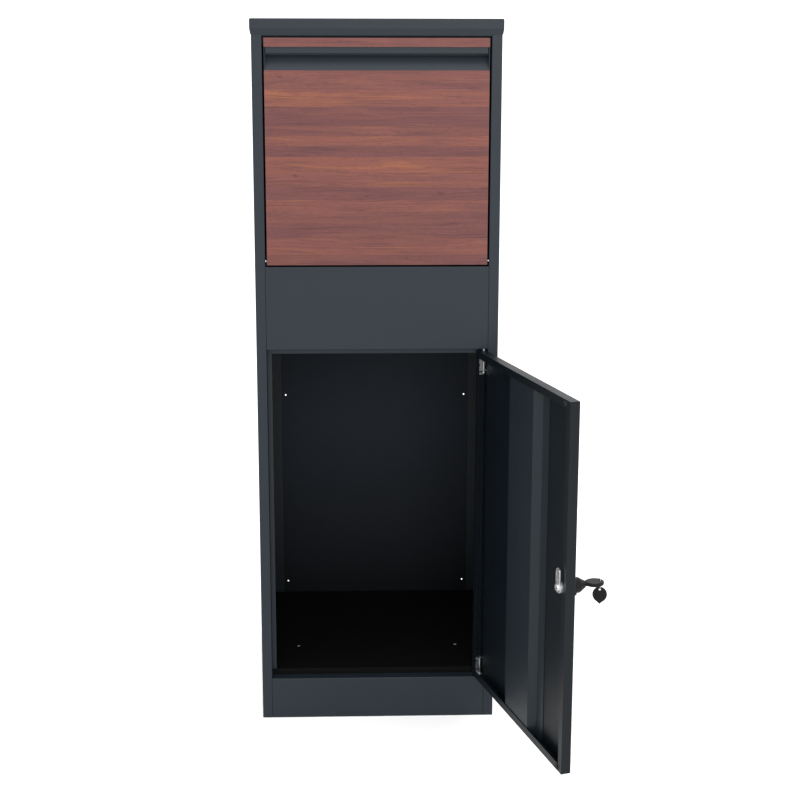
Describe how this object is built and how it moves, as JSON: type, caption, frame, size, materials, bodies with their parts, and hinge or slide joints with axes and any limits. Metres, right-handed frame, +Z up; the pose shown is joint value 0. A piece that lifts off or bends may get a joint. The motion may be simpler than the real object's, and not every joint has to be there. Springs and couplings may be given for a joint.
{
  "type": "parcel drop box",
  "caption": "Tall free-standing folded-steel parcel drop box with a tilting wood-faced hopper above and a keyed hinged retrieval door below, shown open.",
  "frame": {"origin": "middle of the footprint of the cabinet, at floor level on the underside of the base flanges", "axes": "+Z up, -Y out of the front, +X to the right seen from the front; the door is stored open 107 degrees on hinges at +X"},
  "size_m": [0.5557, 0.7325, 1.221],
  "materials": {
    "black_powder_coat": "fine satin powder coat",
    "walnut_film": "satin printed walnut-look film",
    "zinc_plate": "bright zinc plating",
    "chrome_cam": "polished",
    "black_plastic": "fine satin",
    "black_rubber": "matt",
    "key_steel": "nickel plated",
    "bush_plastic": "black acetal"
  },
  "bodies": {
    "cabinet": {"left_side_panel": "black_powder_coat", "right_side_panel": "black_powder_coat", "back_panel": "black_powder_coat", "base_frame": "black_powder_coat", "floor_panel": "black_powder_coat", "kick_plate": "black_powder_coat", "fascia_panel": "black_powder_coat", "top_rail": "black_powder_coat", "left_door_stop": "black_powder_coat", "right_door_stop": "black_powder_coat", "roof_cap": "black_powder_coat", "rear_guard": "black_powder_coat", "hopper_pivot_pins": "zinc_plate", "hopper_shut_pads": "black_rubber", "hopper_open_pads": "black_rubber", "hopper_stop_angles": "black_powder_coat", "back_rivets": "black_powder_coat"},
    "hopper": {"hopper_pan": "black_powder_coat", "wood_panel": "walnut_film", "wood_strip": "walnut_film", "grip_lip": "black_powder_coat", "grip_tongue": "black_powder_coat", "hopper_scoop": "black_powder_coat", "left_hopper_cheek": "black_powder_coat", "right_hopper_cheek": "black_powder_coat", "hopper_bushes": "bush_plastic"},
    "door": {"door_pan": "black_powder_coat", "door_stiffener": "black_powder_coat", "door_buffers": "black_rubber", "top_hinge_bracket": "zinc_plate", "bottom_hinge_bracket": "zinc_plate", "hinge_pin_spring": "zinc_plate", "bottom_hinge_pin": "zinc_plate", "lock_barrel": "zinc_plate", "lock_nut": "zinc_plate", "lock_bezel": "black_plastic", "lock_hood": "black_plastic"},
    "hinge_pin": {"top_hinge_pin": "zinc_plate"},
    "plug": {"lock_plug": "chrome_cam", "lock_cam": "chrome_cam", "cam_screw": "zinc_plate"},
    "key": {"key_blade": "key_steel", "key_bow": "black_plastic"},
    "ring": {"key_ring": "key_steel"},
    "tag": {"key_tag": "black_plastic"}
  },
  "joints": [
    {"name": "hopper_tilt", "type": "hinge", "parent": "cabinet", "child": "hopper", "pos_m": [0, -0.184, 0.8225], "axis": [1, 0, 0], "range_deg": [0, 45]},
    {"name": "door_swing", "type": "hinge", "parent": "cabinet", "child": "door", "pos_m": [0.1813, -0.1858, 0.372], "axis": [0, 0, 1], "range_deg": [-107, 1]},
    {"name": "hinge_pin_draw", "type": "slide", "parent": "door", "child": "hinge_pin", "axis": [0, 0, -1], "range_m": [0, 0.006], "stiffness_N_per_m": 300, "springref_m": -0.008, "deforming": ["hinge_pin_spring"]},
    {"name": "plug_turn", "type": "hinge", "parent": "door", "child": "plug", "pos_m": [0.28715, -0.51765, 0.375], "axis": [0.9563, 0.2924, 0], "range_deg": [0, 90]},
    {"name": "key_draw", "type": "slide", "parent": "plug", "child": "key", "axis": [0.9563, 0.2924, 0], "range_m": [0, 0.039]},
    {"name": "ring_swivel", "type": "hinge", "parent": "key", "child": "ring", "pos_m": [0.33544, -0.50289, 0.375], "axis": [0, 0, 1], "range_deg": [-20, 20]},
    {"name": "tag_swing", "type": "hinge", "parent": "ring", "child": "tag", "pos_m": [0.33711, -0.49105, 0.35885], "axis": [0.1392, 0.9903, 0], "range_deg": [-25, 25]}
  ]
}
